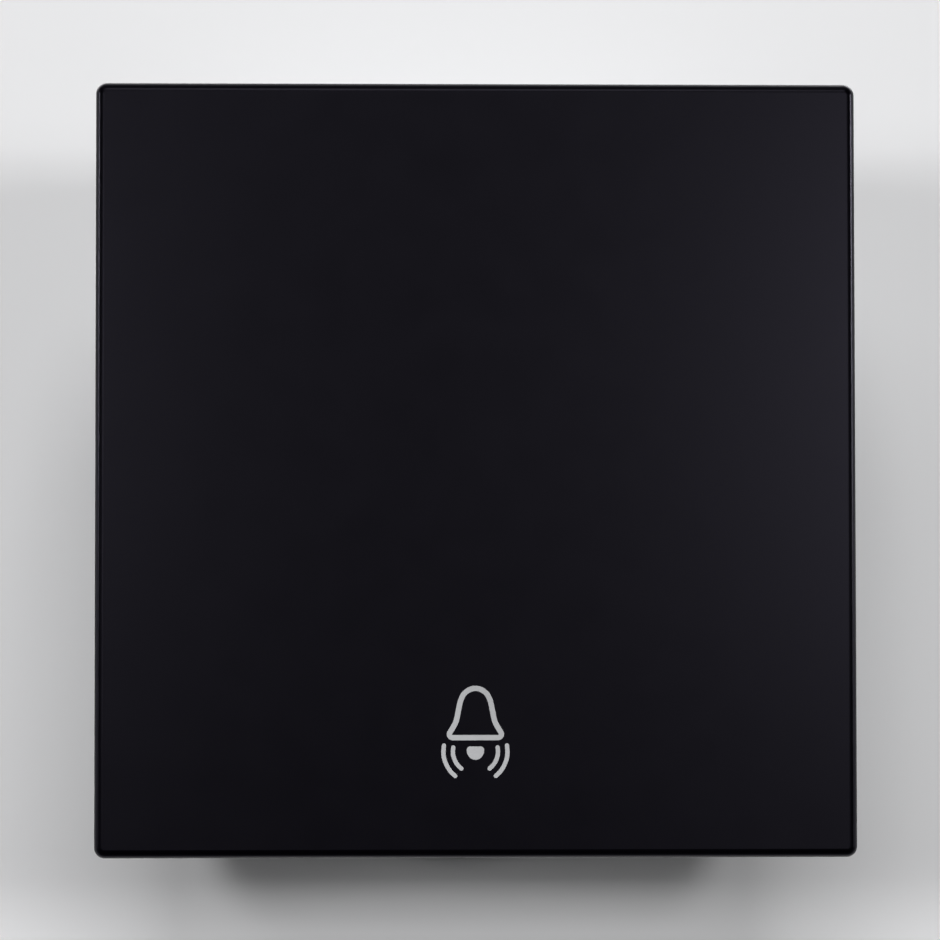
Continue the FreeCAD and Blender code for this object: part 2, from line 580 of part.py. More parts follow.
def rear_housing():
    body = new_body("rear_housing")
    centred_box(body, "spigot", "spigot_width", "spigot_height", "housing_gap", "neck_depth")
    centred_box(body, "shell", "body_width", "body_height", "neck_depth", "housing_rear_y")
    box(body, "hook_notch", "-spigot_width / 2", "spigot_width / 2",
        "-spigot_height / 2", "-spigot_height / 2 + notch_height",
        "housing_gap", "housing_gap + notch_depth", "Pocket")
    inner = "terminal_place - pocket_width / 2 - pocket_wall"
    outer = "terminal_place + pocket_width / 2 + pocket_wall"
    side_wall = "body_width / 2 - rib_wall"
    pockets = [("low", f"-({inner})", inner), ("low", outer, side_wall),
               ("low", f"-({side_wall})", f"-({outer})")]
    for step in (-1, 0, 1):
        pockets.append(("high", f"{step} * rib_pitch - (rib_pitch - rib_wall) / 2",
                        f"{step} * rib_pitch + (rib_pitch - rib_wall) / 2"))
    for count, (level, left, right) in enumerate(pockets):
        ends = ("-body_height / 2", "-body_height / 2 + rib_pocket")
        if level == "high":
            ends = ("body_height / 2 - rib_pocket", "body_height / 2")
        box(body, f"rib_pocket_{level}_{count}", left, right, *ends,
            "neck_depth + rib_wall", "housing_rear_y - rib_wall", "Pocket")
    centred_box(body, "cover_seat", "guide_plate_width + 2 * guide_plate_fit",
                "guide_plate_height + 2 * guide_plate_fit", "guide_front_y", "guide_rear_y",
                "Pocket")
    disc(body, "well", "0", "0", "well_radius", "guide_rear_y", "shelf_y", "Pocket")
    centred_box(body, "bridge_slot", "bridge_length + 4 * slot_play",
                "bridge_height + 2 * slot_play", "guide_rear_y", "shelf_y", "Pocket")
    disc(body, "spring_pit", "0", "0", "pit_radius", "shelf_y", "pit_floor_y", "Pocket")
    disc(body, "spring_post", "0", "0", "spigot_radius", "pit_floor_y - spigot_length",
         "pit_floor_y")
    upper = [("upper", step, "core_low", "core_high") for step in (-1.5, -0.5, 0.5, 1.5)]
    lower = [("lower", step, "-low_core_end", "-low_core_top") for step in (-0.5, 0.5)]
    for count, (row, step, low, high) in enumerate(upper + lower):
        middle = f"{step} * core_pitch"
        box(body, f"core_{row}_{count}", f"{middle} - core_width / 2",
            f"{middle} + core_width / 2", low, high, "housing_gap", "core_depth", "Pocket")
    for side, sign in sides():
        place = f"{sign}terminal_place"
        left, right = f"{place} - pocket_width / 2", f"{place} + pocket_width / 2"
        box(body, f"bar_recess_{side}", left, right, "pocket_top_z - bar_thick",
            "bar_top + lever_play", "bar_front_y", "housing_rear_y", "Pocket")
        box(body, f"clamp_pocket_{side}", left, right, "pocket_low_z", "clamp_face_z",
            "bar_front_y", "housing_rear_y", "Pocket")
        disc(body, f"rivet_hole_{side}", place, "0", "rivet_radius + rivet_play",
             "shelf_y", "bar_front_y", "Pocket")
        place = f"{sign}screw_place_x"
        disc(body, f"screw_hole_{side}", place, "screw_place_z", "screw_radius + screw_play",
             "housing_gap", "housing_rear_y", "Pocket")
        disc(body, f"socket_{side}", place, "screw_place_z", "boss_radius + boss_play",
             "housing_gap", "boss_length + housing_gap", "Pocket")
    soften(body, "long_edges", "Fillet", "body_corner",
           lambda e: runs_back(e) and at_corner(e, "body_width", "body_height"))
    return body


def rear_cover():
    body = new_body("rear_cover")
    width, height = "body_width - 2 * cover_step", "body_height - 2 * cover_step"
    centred_box(body, "plate", width, height, "housing_rear_y", "rear_face_y")
    soften(body, "corners", "Fillet", "body_corner",
           lambda e: runs_back(e) and at_corner(e, width, height))
    soften(body, "rear_rim", "Chamfer", "rear_edge", lambda e: lies_at_depth(e, "rear_face_y"))
    for side, sign in sides():
        place = f"{sign}terminal_place"
        disc(body, f"wire_entry_{side}", place, "wire_z", "wire_radius",
             "housing_rear_y", "rear_face_y", "Pocket")
        half = "lever_width / 2 + lever_play"
        box(body, f"lever_window_{side}", f"{place} - ({half})", f"{place} + {half}",
            "lever_low_z - lever_play", "lever_top_z + lever_play",
            "housing_rear_y", "rear_face_y", "Pocket")
        box(body, f"hold_rib_{side}", f"{place} - hold_rib / 2", f"{place} + hold_rib / 2",
            "pocket_top_z + lever_play", "bar_top - lever_play", "bar_rear_y", "housing_rear_y")
        place = f"{sign}screw_place_x"
        disc(body, f"screw_hole_{side}", place, "screw_place_z", "screw_radius + screw_play",
             "housing_rear_y", "rear_face_y", "Pocket")
        disc(body, f"screw_sink_{side}", place, "screw_place_z",
             "screw_head_radius + sink_play", "rear_face_y - sink_depth", "rear_face_y", "Pocket")
    soften(body, "entry_funnels", "Chamfer", "entry_chamfer",
           lambda e: lies_at_depth(e, "rear_face_y") and near(e.BoundBox.XLength, "2 * wire_radius")
           and near(e.CenterOfMass.z, "wire_z"))
    return body


def chamber_cover():
    body = new_body("chamber_cover")
    centred_box(body, "plate", "guide_plate_width", "guide_plate_height",
                "guide_front_y", "guide_rear_y")
    disc(body, "hub_nose", "0", "0", "hub_radius", "guide_front_y - hub_nose", "guide_front_y")
    disc(body, "hub_tail", "0", "0", "hub_radius", "guide_rear_y", "hub_rear_y")
    disc(body, "guide", "0", "0", "plunger_radius + plunger_play",
         "guide_front_y - hub_nose", "hub_rear_y", "Pocket")
    return body


def plunger():
    body = new_body("plunger")
    turned(body, "half_section", [
        ("0", "plunger_front_y"),
        ("plunger_radius", "plunger_front_y"),
        ("plunger_radius", "collar_front_y"),
        ("collar_radius", "collar_front_y"),
        ("collar_radius", "collar_rear_y"),
        ("stem_radius", "collar_rear_y"),
        ("stem_radius", "bridge_rear_y"),
        ("head_radius", "bridge_rear_y"),
        ("head_radius", "head_rear_y"),
        ("spigot_radius", "head_rear_y"),
        ("spigot_radius", "head_rear_y + spigot_length"),
        ("0", "head_rear_y + spigot_length")])
    return body


def coil(name, radius, wire, turns, front, length):
    """A coil spring along the depth, its wire's ends inside the length."""
    helix = doc.addObject("Part::Helix", name + "_line")
    helix.setExpression("Radius", tied(radius))
    helix.setExpression("Height", tied(f"({length}) - ({wire})"))
    helix.setExpression("Pitch", tied(f"(({length}) - ({wire})) / ({turns})"))
    section = doc.addObject("Part::RegularPolygon", name + "_section")
    section.Polygon = 5
    section.setExpression("Circumradius", tied(f"({wire}) / 2"))
    section.Placement = Placement(Vector(0, 0, 0), Rotation(Vector(1, 0, 0), 90))
    section.setExpression("Placement.Base.x", tied(radius))
    spring = doc.addObject("Part::Sweep", name)
    spring.Sections = [section]
    spring.Spine = (helix, ["Edge1"])
    spring.Solid = True
    spring.Frenet = True
    spring.Placement = Placement(Vector(0, 0, 0), Rotation(Vector(1, 0, 0), -90))
    spring.setExpression("Placement.Base.y", tied(f"({front}) + ({wire}) / 2"))
    return spring


def contact_bridge():
    body = new_body("contact_bridge")
    centred_box(body, "strip", "bridge_length", "bridge_height",
                "bridge_front_y", "bridge_rear_y")
    soften(body, "ends", "Fillet", "bridge_thick",
           lambda e: runs_back(e) and at_corner(e, "bridge_length", "bridge_height"))
    disc(body, "stem_hole", "0", "0", "bridge_hole", "bridge_front_y", "bridge_rear_y", "Pocket")
    return body


def bridge_contacts():
    tips = []
    for side, sign in sides():
        body = new_body("bridge_tip_" + side)
        turned(body, "half_section", [
            ("0", "bridge_rear_y"),
            ("tip_radius", "bridge_rear_y"),
            ("tip_radius", "bridge_rear_y + tip_rise"),
            ("0", "bridge_rear_y + tip_rise")])
        set_sideways(body, sign + "terminal_place")
        tips.append(body)
    pair = doc.addObject("Part::Compound", "bridge_contacts")
    pair.Links = tips
    return pair


def fixed_contact(side, sign):
    body = new_body("fixed_contact_" + side)
    turned(body, "half_section", [
        ("0", "fixed_face_y"),
        ("rivet_radius", "fixed_face_y"),
        ("rivet_radius", "bar_front_y"),
        ("rivet_shank", "bar_front_y"),
        ("rivet_shank", "bar_rear_y"),
        ("0", "bar_rear_y")])
    set_sideways(body, sign + "terminal_place")
    return body


def terminal_bar(side, sign):
    """A bent brass strip: the upright part carries the contact, the foot clamps the wire."""
    body = new_body("terminal_bar_" + side)
    side_shape(body, "strip", [
        ("bar_front_y", "clamp_face_z"),
        ("housing_rear_y - bar_end_gap", "clamp_face_z"),
        ("housing_rear_y - bar_end_gap", "pocket_top_z"),
        ("bar_rear_y", "pocket_top_z"),
        ("bar_rear_y", "bar_top"),
        ("bar_front_y", "bar_top")], "-bar_width / 2", "bar_width / 2")
    soften(body, "outer_bend", "Fillet", "bar_thick",
           lambda e: near(e.BoundBox.XLength, "bar_width") and lies_at_depth(e, "bar_front_y")
           and near(e.CenterOfMass.z, "clamp_face_z"))
    disc(body, "rivet_hole", "0", "0", "rivet_shank", "bar_front_y", "bar_rear_y", "Pocket")
    set_sideways(body, sign + "terminal_place")
    return body


def clamp_spring(side, sign):
    """A leaf spring: a leg on the pocket floor, a loop, and a leg up to the clamping face."""
    body = new_body("clamp_spring_" + side)
    path = sketch_on(body, "path", "YZ_Plane", "0")
    start = "loop_rear_y - fixed_leg"
    draw_lines(path, [(start, "loop_low_z"), ("loop_rear_y", "loop_low_z"),
                      ("loop_rear_y", "loop_top_z"), ("leg_bend_y", "loop_top_z"),
                      ("leg_tip_y", "leg_tip_z")], closed=False)
    doc.recompute()
    for corner, radius in enumerate(("loop_bend", "loop_bend", "leg_bend")):
        path.fillet(corner, 2, number(radius), True, True)
        arc = max(i for i, g in enumerate(path.Geometry) if isinstance(g, Part.ArcOfCircle))
        index = path.addConstraint(Sketcher.Constraint("Radius", arc, number(radius)))
        path.setExpression(f"Constraints[{index}]", tied(radius))
    section = sketch_on(body, "section", "XZ_Plane", f"-({start})")
    half = "strip_width / 2"
    low, high = "loop_low_z - strip_thick / 2", "loop_low_z + strip_thick / 2"
    draw_lines(section, [("-" + half, low), (half, low), (half, high), ("-" + half, high)])
    pipe = body.newObject("PartDesign::AdditivePipe", body.Name + "_strip")
    pipe.Profile = section
    pipe.Spine = (path, [])
    path.Visibility = False
    section.Visibility = False
    set_sideways(body, sign + "terminal_place")
    return body


def release_lever(side, sign):
    """A flat push piece whose slanted end lies against the clamp spring's free leg."""
    body = new_body("release_lever_" + side)
    low_end = "leg_bend_y - (lever_low_z - loop_top_z) * leg_slope + leg_rear_gap"
    high_end = "leg_bend_y - (lever_top_z - loop_top_z) * leg_slope + leg_rear_gap"
    tail = "rear_face_y - lever_sunk"
    side_shape(body, "blade", [(low_end, "lever_low_z"), (tail, "lever_low_z"),
                               (tail, "lever_top_z"), (high_end, "lever_top_z")],
               "-lever_width / 2", "lever_width / 2")
    wing_rear = "housing_rear_y - lever_play"
    box(body, "wings", "-lever_width / 2 - lever_wing", "lever_width / 2 + lever_wing",
        "lever_low_z", "lever_top_z", f"{wing_rear} - wing_length", wing_rear)
    set_sideways(body, sign + "terminal_place")
    return body


def housing_screws():
    screws = []
    for side, sign in sides():
        body = new_body("screw_" + side)
        seat = "rear_face_y - sink_depth"
        turned(body, "half_section", [
            ("0", "screw_tip"),
            ("screw_radius", "screw_tip"),
            ("screw_radius", seat),
            ("screw_head_radius", seat),
            ("screw_head_radius", f"{seat} + screw_head"),
            ("0", f"{seat} + screw_head")])
        set_sideways(body, sign + "screw_place_x")
        body.setExpression("Placement.Base.z", tied("screw_place_z"))
        screws.append(body)
    pair = doc.addObject("Part::Compound", "housing_screws")
    pair.Links = screws
    return pair


pieces = [
    key_cap(),
    rocker_plate(),
    carrier_frame(),
    rear_housing(),
    rear_cover(),
    chamber_cover(),
    plunger(),
    coil("return_spring", "return_spring_radius", "return_wire", "return_turns",
         "head_rear_y", "return_spring_length"),
    coil("contact_spring", "contact_spring_radius", "contact_wire", "contact_turns",
         "collar_rear_y", "contact_spring_length"),
    contact_bridge(),
    bridge_contacts(),
    housing_screws(),
]
for side_name, side_sign in sides():
    pieces.append(fixed_contact(side_name, side_sign))
    pieces.append(terminal_bar(side_name, side_sign))
    pieces.append(clamp_spring(side_name, side_sign))
    pieces.append(release_lever(side_name, side_sign))
doc.recompute()

for thing in doc.Objects:
    if "Invalid" in thing.State or "Error" in thing.State:
        raise RuntimeError(thing.Name + " failed: " + str(thing.State))
os.makedirs("parts", exist_ok=True)
for piece in pieces:
    piece.Label = piece.Name
    if piece.Shape.isNull() or not piece.Shape.isValid():
        raise RuntimeError(piece.Label + " is not a valid solid")
for piece in pieces:
    piece.Shape.exportStep("parts/" + piece.Label + ".step")
    bounds = piece.Shape.BoundBox
    print(piece.Label, len(piece.Shape.Solids), "solids", round(piece.Shape.Volume, 2), "mm3",
          [round(v, 2) for v in (bounds.XMin, bounds.XMax, bounds.YMin, bounds.YMax,
                                 bounds.ZMin, bounds.ZMax)])
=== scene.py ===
import json
import math

import bmesh
import bpy
from mathutils import Matrix, Vector


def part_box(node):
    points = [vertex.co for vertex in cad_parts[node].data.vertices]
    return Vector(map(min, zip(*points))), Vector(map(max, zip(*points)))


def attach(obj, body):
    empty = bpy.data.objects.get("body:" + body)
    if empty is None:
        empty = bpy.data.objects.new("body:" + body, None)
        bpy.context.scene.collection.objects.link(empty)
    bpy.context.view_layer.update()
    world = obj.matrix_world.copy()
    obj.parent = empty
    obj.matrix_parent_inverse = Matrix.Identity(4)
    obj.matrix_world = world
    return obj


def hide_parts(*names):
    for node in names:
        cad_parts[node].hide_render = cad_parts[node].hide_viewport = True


# Doorbell push button: the finish of each piece, the cover's screws, the printed bell, the light
# and the camera. Lengths are in metres in the part's own frame: -Y is the front, +Z is up.

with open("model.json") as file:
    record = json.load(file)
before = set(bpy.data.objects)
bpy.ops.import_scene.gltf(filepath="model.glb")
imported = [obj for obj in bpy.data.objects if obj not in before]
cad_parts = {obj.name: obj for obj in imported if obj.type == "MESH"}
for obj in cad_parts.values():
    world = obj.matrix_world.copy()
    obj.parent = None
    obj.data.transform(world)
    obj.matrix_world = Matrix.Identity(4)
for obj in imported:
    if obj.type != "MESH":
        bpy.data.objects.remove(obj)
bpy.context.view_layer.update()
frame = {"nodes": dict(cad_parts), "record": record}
MM = 0.001

KEY_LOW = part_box("key_cap")[0]
FACE_Y = KEY_LOW[1]
REAR_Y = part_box("rear_cover")[1][1]
SIDES = ((-1, "left"), (1, "right"))


def mix(low, high, share):
    """The value at a share of the way from low to high."""
    return low + (high - low) * share


# Camera, fitted to the four corners of the key in the photograph

CAMERA_DISTANCE = 0.25
CAMERA_YAW = math.radians(1.55)
CAMERA_PITCH = math.radians(2.45)
CAMERA_ROLL = math.radians(-0.053)
CAMERA_LENS = 165.05
CAMERA_SENSOR = 36
CAMERA_CLIP = 0.01
CAMERA_TARGET = Vector((-0.37 * MM, FACE_Y, -0.052 * MM))


def add_camera():
    """The camera, a little below and to the left of the key's middle and looking at it."""
    ahead = Vector((math.sin(CAMERA_YAW) * math.cos(CAMERA_PITCH),
                    math.cos(CAMERA_YAW) * math.cos(CAMERA_PITCH),
                    math.sin(CAMERA_PITCH)))
    data = bpy.data.cameras.new("camera")
    data.sensor_width = CAMERA_SENSOR
    data.lens = CAMERA_LENS
    data.clip_start = CAMERA_CLIP
    camera = bpy.data.objects.new("camera", data)
    camera.location = CAMERA_TARGET - CAMERA_DISTANCE * ahead
    turn = ahead.to_track_quat("-Z", "Y").to_matrix()
    camera.matrix_world = (Matrix.Translation(camera.location) @ turn.to_4x4()
                           @ Matrix.Rotation(CAMERA_ROLL, 4, "Z"))
    bpy.context.collection.objects.link(camera)
    bpy.context.scene.camera = camera


# Shader trees, shared by the world, the backdrop and the materials

def fresh_tree(owner):
    """The emptied shader tree of a world or material: its nodes and links."""
    owner.use_nodes = True
    nodes, links = owner.node_tree.nodes, owner.node_tree.links
    nodes.clear()
    return nodes, links


def combine(nodes, links, operation, first, second):
    """Two values joined by one mathematical operation."""
    node = nodes.new("ShaderNodeMath")
    node.operation = operation
    links.new(first, node.inputs[0])
    links.new(second, node.inputs[1])
    return node.outputs["Value"]


def stretch(nodes, links, source, start, end, low=0.0, high=1.0, blend="LINEAR"):
    """A value that runs from low to high while the source runs from start to end."""
    reach = nodes.new("ShaderNodeMapRange")
    reach.interpolation_type = blend
    reach.inputs["From Min"].default_value = start
    reach.inputs["From Max"].default_value = end
    reach.inputs["To Min"].default_value = low
    reach.inputs["To Max"].default_value = high
    links.new(source, reach.inputs["Value"])
    return reach.outputs["Result"]


def separate(nodes, links, source):
    """The parts of a vector along X, Y and Z."""
    parts = nodes.new("ShaderNodeSeparateXYZ")
    links.new(source, parts.inputs["Vector"])
    return parts.outputs


def choose(nodes, links, share, first, second, out):
    """Two shaders mixed by a share of the second, and led to the output."""
    both = nodes.new("ShaderNodeMixShader")
    links.new(share, both.inputs["Fac"])
    links.new(first, both.inputs[1])
    links.new(second, both.inputs[2])
    links.new(both.outputs["Shader"], out.inputs["Surface"])


# Light. The strongest lamp stands in front and above. The small lamps at both sides, near the
# level of the key's middle, give the shadow its width, and the back lamps serve the rear views.

WORLD_LIGHT = 0.02
WORLD_SEEN = (0.62, 0.62, 0.64, 1.0)
# The share of a reflected ray's direction along +Y at which it begins to see the pale world, and
# at which it sees that world in full
BEHIND_START, BEHIND_END = -0.1, 0.3
LAMP_REACH = 0.5
BACK_LAMP_REACH = 0.75
# Turn from the front to the right and height above the middle in degrees, size, watts
LAMPS = ((0, 35, 0.16, 1.34), (16, 5, 0.05, 0.48), (-16, 5, 0.05, 0.47), (75, 8, 0.05, 0.40),
         (-25, 35, 0.16, 0.28), (-75, 8, 0.05, 0.25), (-40, 2, 0.05, 0.15), (-16, 2, 0.05, 0.12),
         (16, 2, 0.05, 0.11), (40, 2, 0.05, 0.08), (0, 20, 0.16, 0.04))
BACK_LAMPS = ((145, 40, 0.5, 3.4), (-150, 35, 0.5, 2.4), (180, -30, 0.5, 1.3))


def add_world():
    """Dim light from all round. The camera and reflections that point back see a pale world."""
    world = bpy.data.worlds.new("studio")
    nodes, links = fresh_tree(world)
    out = nodes.new("ShaderNodeOutputWorld")
    path = nodes.new("ShaderNodeLightPath")
    where = nodes.new("ShaderNodeTexCoord")
    depth = separate(nodes, links, where.outputs["Generated"])["Y"]
    behind = stretch(nodes, links, depth, BEHIND_START, BEHIND_END)
    mirrored = combine(nodes, links, "MAXIMUM", path.outputs["Is Glossy Ray"],
                       path.outputs["Is Transmission Ray"])
    pale = nodes.new("ShaderNodeMath")
    pale.operation = "MULTIPLY_ADD"
    pale.use_clamp = True
    links.new(mirrored, pale.inputs[0])
    links.new(behind, pale.inputs[1])
    links.new(path.outputs["Is Camera Ray"], pale.inputs[2])
    lit = nodes.new("ShaderNodeBackground")
    lit.inputs["Color"].default_value = (1.0, 1.0, 1.0, 1.0)
    lit.inputs["Strength"].default_value = WORLD_LIGHT
    seen = nodes.new("ShaderNodeBackground")
    seen.inputs["Color"].default_value = WORLD_SEEN
    choose(nodes, links, pale.outputs["Value"], lit.outputs["Background"],
           seen.outputs["Background"], out)
    bpy.context.scene.world = world


def add_lamp(name, turn, height, size, power, reach):
    """A square soft light that looks at the middle of the part."""
    a, e = math.radians(turn), math.radians(height)
    way = Vector((math.sin(a) * math.cos(e), -math.cos(a) * math.cos(e), math.sin(e)))
    data = bpy.data.lights.new(name, "AREA")
    data.shape = "SQUARE"
    data.size = size
    data.energy = power
    light = bpy.data.objects.new(name, data)
    light.location = way * reach
    light.rotation_euler = (-way).to_track_quat("-Z", "Y").to_euler()
    bpy.context.collection.objects.link(light)


def add_lamps():
    """All lamps, those in front first."""
    for word, rows, reach in (("lamp", LAMPS, LAMP_REACH),
                              ("back_lamp", BACK_LAMPS, BACK_LAMP_REACH)):
        for i, row in enumerate(rows):
            add_lamp(f"{word}_{i}", *row, reach)


# Backdrop: pale paper just behind the part, which fades out between two distances from its middle

BACKDROP_GAP = 0.2 * MM
BACKDROP_SIZE = 3.0
FADE_START, FADE_END = 0.09, 0.30
PAPER = (0.70, 0.70, 0.71, 1)


def add_backdrop():
    """The paper. It takes the part's shadow, throws none, and is clear from behind."""
    mesh = bpy.data.meshes.new("backdrop")
    half = BACKDROP_SIZE / 2
    depth = REAR_Y + BACKDROP_GAP
    mesh.from_pydata([(-half, depth, -half), (half, depth, -half),
                      (half, depth, half), (-half, depth, half)], [], [(0, 1, 2, 3)])
    plane = bpy.data.objects.new("backdrop", mesh)
    bpy.context.collection.objects.link(plane)
    plane.visible_shadow = False
    plane.visible_diffuse = False
    plane.visible_glossy = False
    material = bpy.data.materials.new("backdrop")
    nodes, links = fresh_tree(material)
    out = nodes.new("ShaderNodeOutputMaterial")
    paper = nodes.new("ShaderNodeBsdfDiffuse")
    paper.inputs["Color"].default_value = PAPER
    clear = nodes.new("ShaderNodeBsdfTransparent")
    surface = nodes.new("ShaderNodeNewGeometry")
    away = nodes.new("ShaderNodeVectorMath")
    away.operation = "LENGTH"
    links.new(surface.outputs["Position"], away.inputs[0])
    faded = stretch(nodes, links, away.outputs["Value"], FADE_START, FADE_END, blend="SMOOTHSTEP")
    gone = combine(nodes, links, "MAXIMUM", faded, surface.outputs["Backfacing"])
    choose(nodes, links, gone, paper.outputs["BSDF"], clear.outputs["BSDF"], out)
    mesh.materials.append(material)


# Materials. A noise's scale is its number of features in a metre.

NOISE_LOW, NOISE_HIGH = 0.3, 0.7
CLOUD_SCALE = 90.0
CLOUD_DETAIL = 4.0
PATCH_SCALE = 420.0
PATCH_DETAIL = 3.0
GRAIN_DETAIL = 2.0
METAL_CLOUD_SCALE = 260.0
LINE_DETAIL = 3.0
# By the largest part of the surface's direction along one axis: the end of a rounded edge's rim,
# the beginning and end of the dull start beside a flat, and the beginning of the flat
EDGE_STOPS = (0.86, 0.91, 0.998, 0.9998)
# Side walls are rougher than the face, from the first to the second part of the surface's
# direction along Y
SIDE_START, SIDE_END = 0.2, 0.8
SIDE_ROUGHER = 0.20

# The key's gloss on its flats, on the rim of its edges and at their start, and the gloss's tint
KEY_GLOSS = 0.072
KEY_EDGE_GLOSS = (0.29, 0.035)
KEY_TINT = (0.80, 0.76, 1.0, 1)
INK_GLOSS = 0.3
PLASTIC_GLOSS = 0.5

# Darker and lighter colour, lowest and highest roughness, the grain's size and depth
PLASTICS = {
    "key_black": ((0.0006, 0.0005, 0.0010), (0.0008, 0.0007, 0.0013), (0.275, 0.295),
                  0.12 * MM, 0.0008 * MM),
    "carrier_black": ((0.010, 0.010, 0.011), (0.014, 0.014, 0.015), (0.42, 0.55),
                      0.16 * MM, 0.006 * MM),
    "rocker_black": ((0.012, 0.012, 0.013), (0.018, 0.018, 0.019), (0.35, 0.5),
                     0.3 * MM, 0.004 * MM),
    "housing_grey": ((0.40, 0.41, 0.42), (0.46, 0.47, 0.48), (0.38, 0.52),
                     0.14 * MM, 0.006 * MM),
    "cover_grey": ((0.33, 0.34, 0.35), (0.38, 0.39, 0.40), (0.38, 0.52),
                   0.14 * MM, 0.006 * MM),
    "plunger_white": ((0.66, 0.66, 0.62), (0.72, 0.72, 0.68), (0.22, 0.32),
                      0.3 * MM, 0.002 * MM),
    "lever_orange": ((0.62, 0.14, 0.015), (0.70, 0.18, 0.02), (0.22, 0.34),
                     0.3 * MM, 0.002 * MM),
    "print_ink": ((0.30, 0.303, 0.313), (0.44, 0.444, 0.455), (0.5, 0.65),
                  0.06 * MM, 0.004 * MM),
}
# Darker and lighter colour, lowest and highest roughness, the lines' scale and depth, and how much
# closer they lie along each axis
METALS = {
    "contact_silver": ((0.68, 0.67, 0.63), (0.84, 0.83, 0.80), (0.22, 0.38),
                       2500.0, 0.002 * MM, (1.0, 1.0, 12.0)),
    "bar_brass": ((0.62, 0.44, 0.17), (0.74, 0.54, 0.24), (0.24, 0.4),
                  1500.0, 0.003 * MM, (1.0, 1.0, 12.0)),
    "bridge_copper": ((0.68, 0.34, 0.20), (0.80, 0.43, 0.27), (0.24, 0.4),
                      1500.0, 0.003 * MM, (1.0, 12.0, 12.0)),
    "spring_steel": ((0.50, 0.50, 0.50), (0.62, 0.62, 0.61), (0.2, 0.34),
                     1800.0, 0.002 * MM, (1.0, 1.0, 12.0)),
    "screw_steel": ((0.55, 0.56, 0.55), (0.68, 0.69, 0.67), (0.24, 0.42),
                    1400.0, 0.003 * MM, (1.0, 6.0, 1.0)),
}


def new_material(name):
    """A material with one shader, its tree, and the coordinates that its noises follow."""
    material = bpy.data.materials.new(name)
    nodes, links = fresh_tree(material)
    out = nodes.new("ShaderNodeOutputMaterial")
    shader = nodes.new("ShaderNodeBsdfPrincipled")
    links.new(shader.outputs["BSDF"], out.inputs["Surface"])
    place = nodes.new("ShaderNodeTexCoord").outputs["Object"]
    return material, nodes, links, shader, place


def add_noise(nodes, links, place, scale, detail, roughness=0.6):
    """A noise over a place."""
    noise = nodes.new("ShaderNodeTexNoise")
    noise.inputs["Scale"].default_value = scale
    noise.inputs["Detail"].default_value = detail
    noise.inputs["Roughness"].default_value = roughness
    links.new(place, noise.inputs["Vector"])
    return noise.outputs["Fac"]


def spread(nodes, links, source, low=0.0, high=1.0):
    """A noise stretched around its middle to run from low to high."""
    return stretch(nodes, links, source, NOISE_LOW, NOISE_HIGH, low, high)


def add_colour(nodes, links, shader, cloud, dark, light):
    """The shader's colour, between two tones that follow a noise."""
    colour = nodes.new("ShaderNodeMix")
    colour.data_type = "RGBA"
    colour.inputs["A"].default_value = (*dark, 1)
    colour.inputs["B"].default_value = (*light, 1)
    links.new(spread(nodes, links, cloud), colour.inputs["Factor"])
    links.new(colour.outputs["Result"], shader.inputs["Base Color"])


def add_relief(nodes, links, shader, height, depth):
    """Fine relief of a given depth that follows a noise."""
    bump = nodes.new("ShaderNodeBump")
    bump.inputs["Strength"].default_value = 1.0
    bump.inputs["Distance"].default_value = depth
    links.new(height, bump.inputs["Height"])
    links.new(bump.outputs["Normal"], shader.inputs["Normal"])


def facing(nodes, links):
    """How far the surface faces along X, Y and Z, each from 0 to 1."""
    surface = nodes.new("ShaderNodeNewGeometry")
    size = nodes.new("ShaderNodeVectorMath")
    size.operation = "ABSOLUTE"
    links.new(surface.outputs["Normal"], size.inputs[0])
    return separate(nodes, links, size.outputs["Vector"])


def edge_gloss(nodes, links, parts, rim, start, flat):
    """The gloss of a rounded edge's rim, of its start beside a flat, and of the flat."""
    most = combine(nodes, links, "MAXIMUM", parts["X"], parts["Y"])
    most = combine(nodes, links, "MAXIMUM", most, parts["Z"])
    ramp = nodes.new("ShaderNodeValToRGB")
    stops = ramp.color_ramp.elements
    stops[0].position, stops[1].position = EDGE_STOPS[0], EDGE_STOPS[-1]
    for position in EDGE_STOPS[1:-1]:
        stops.new(position)
    for stop, level in zip(stops, (rim, start, start, flat)):
        stop.color = (level, level, level, 1)
    links.new(most, ramp.inputs["Fac"])
    return ramp.outputs["Color"]


def moulded(name, gloss=PLASTIC_GLOSS, edge=None, tint=None):
    """Moulded plastic: faint cloudiness, uneven gloss and the mould's fine eroded grain."""
    dark, light, rough, grain_size, grain_depth = PLASTICS[name]
    material, nodes, links, shader, place = new_material(name)
    shader.inputs["Specular IOR Level"].default_value = gloss
    if tint is not None:
        shader.inputs["Specular Tint"].default_value = tint
    cloud = add_noise(nodes, links, place, CLOUD_SCALE, CLOUD_DETAIL)
    add_colour(nodes, links, shader, cloud, dark, light)
    patch = add_noise(nodes, links, place, PATCH_SCALE, PATCH_DETAIL)
    roughness = spread(nodes, links, patch, *rough)
    if edge is not None:
        parts = facing(nodes, links)
        links.new(edge_gloss(nodes, links, parts, *edge, gloss),
                  shader.inputs["Specular IOR Level"])
        rougher = stretch(nodes, links, parts["Y"], SIDE_START, SIDE_END, SIDE_ROUGHER, 0.0)
        roughness = combine(nodes, links, "ADD", roughness, rougher)
    links.new(roughness, shader.inputs["Roughness"])
    grain = add_noise(nodes, links, place, 1.0 / grain_size, GRAIN_DETAIL)
    add_relief(nodes, links, shader, grain, grain_depth)
    return material


